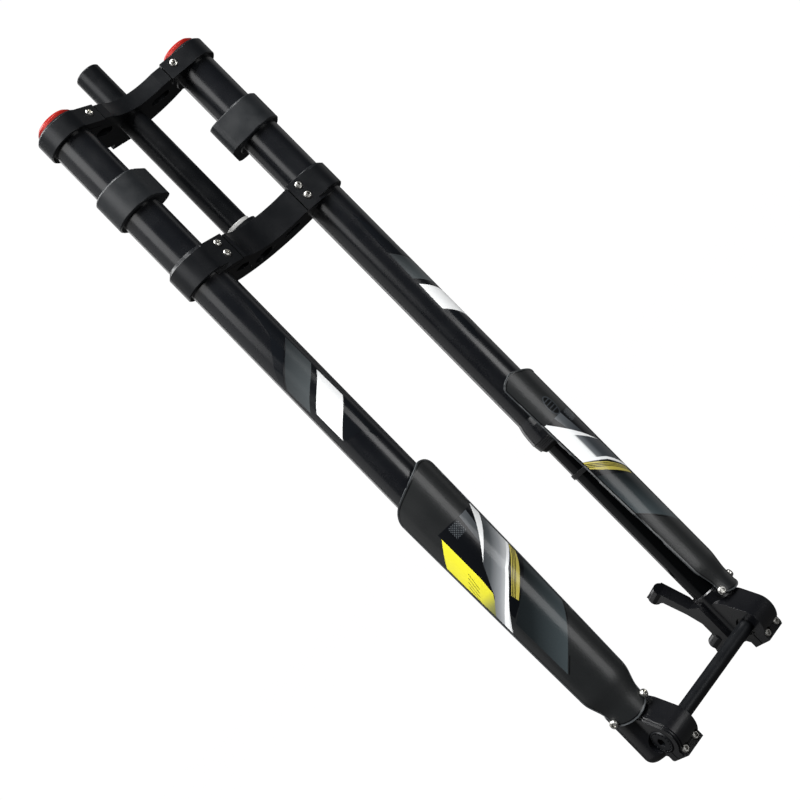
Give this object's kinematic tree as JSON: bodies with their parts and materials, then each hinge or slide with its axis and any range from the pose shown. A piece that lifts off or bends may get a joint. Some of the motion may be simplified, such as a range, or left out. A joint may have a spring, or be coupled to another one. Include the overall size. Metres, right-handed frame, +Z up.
{
  "type": "suspension fork",
  "caption": "Double-crown inverted suspension fork: outer tubes in two crowns, stanchions with guards, dropouts, thru axle and a brake mount.",
  "frame": {"origin": "crown race seat, on the steerer axis at the top of the lower crown", "axes": "+Z up the steerer, -Y to the front of the bicycle, +X to the rider's left, the brake side"},
  "size_m": [0.2368, 0.1098, 0.886],
  "materials": {
    "black_anodised": "satin black anodised aluminium",
    "black_painted": "satin black paint",
    "red_anodised": "red anodised aluminium",
    "clear_anodised": "clear anodised aluminium",
    "steel_bolts": "bright zinc plated steel",
    "ground_steel": "ground and chromed steel",
    "stanchion_black": "hard black anodised, polished",
    "bushing_bronze": "bronze backed bushing",
    "brass": "turned brass",
    "black_plastic": "moulded black plastic",
    "bumper_rubber": "hard moulded rubber",
    "seal_rubber": "soft black rubber",
    "guard_plastic": null
  },
  "bodies": {
    "upper": {"steerer_tube": "black_anodised", "upper_crown": "black_anodised", "lower_crown": "black_anodised", "upper_crown_bolts": "steel_bolts", "lower_crown_bolts": "steel_bolts", "steerer_clamp_bolt": "steel_bolts", "outer_tube_left": "black_painted", "outer_tube_right": "black_painted", "top_cap_left": "red_anodised", "top_cap_right": "red_anodised", "air_valve": "brass", "valve_cap": "black_plastic", "bumper_left": "bumper_rubber", "bumper_right": "bumper_rubber", "bumper_screws": "steel_bolts", "lower_bushing_left": "bushing_bronze", "lower_bushing_right": "bushing_bronze", "seal_head_left": "black_plastic", "seal_head_right": "black_plastic", "dust_wipers": "seal_rubber", "damper_rod": "ground_steel", "damper_piston": "brass", "air_shaft": "ground_steel", "air_piston": "clear_anodised", "end_stop_rubbers": "seal_rubber"},
    "lower": {"stanchion_left": "stanchion_black", "stanchion_right": "stanchion_black", "upper_bushing_left": "bushing_bronze", "upper_bushing_right": "bushing_bronze", "damper_cartridge": "clear_anodised", "damper_rod_guide": "black_anodised", "air_seal_head": "black_anodised", "dropout_left": "black_painted", "dropout_right": "black_painted", "foot_bolts": "steel_bolts", "axle_nut": "ground_steel", "axle_clamp_bolts": "steel_bolts", "guard_left": "guard_plastic", "guard_right": "guard_plastic", "guard_bolts": "steel_bolts"},
    "axle": {"thru_axle": "black_anodised"},
    "knob": {"damping_knob": "clear_anodised"},
    "ring": {"travel_o_ring": "seal_rubber"}
  },
  "joints": [
    {"name": "fork_travel", "type": "slide", "parent": "upper", "child": "lower", "axis": [0, 0, 1], "range_m": [0, 0.18], "stiffness_N_per_m": 5000, "springref_m": -0.04},
    {"name": "axle_withdraw", "type": "slide", "parent": "lower", "child": "axle", "axis": [-1, 0, 0], "range_m": [0, 0.2]},
    {"name": "damping_knob_turn", "type": "hinge", "parent": "upper", "child": "knob", "pos_m": [-0.086, -0.0226, 0.186], "axis": [0, 0, 1], "range_deg": [0, 270]},
    {"name": "ring_slide", "type": "slide", "parent": "lower", "child": "ring", "axis": [0, 0, 1], "range_m": [-0.155, 0]}
  ],
  "couplings": [
    {"joint": "ring_slide", "follows": "fork_travel", "ratio": -0.8333}
  ]
}
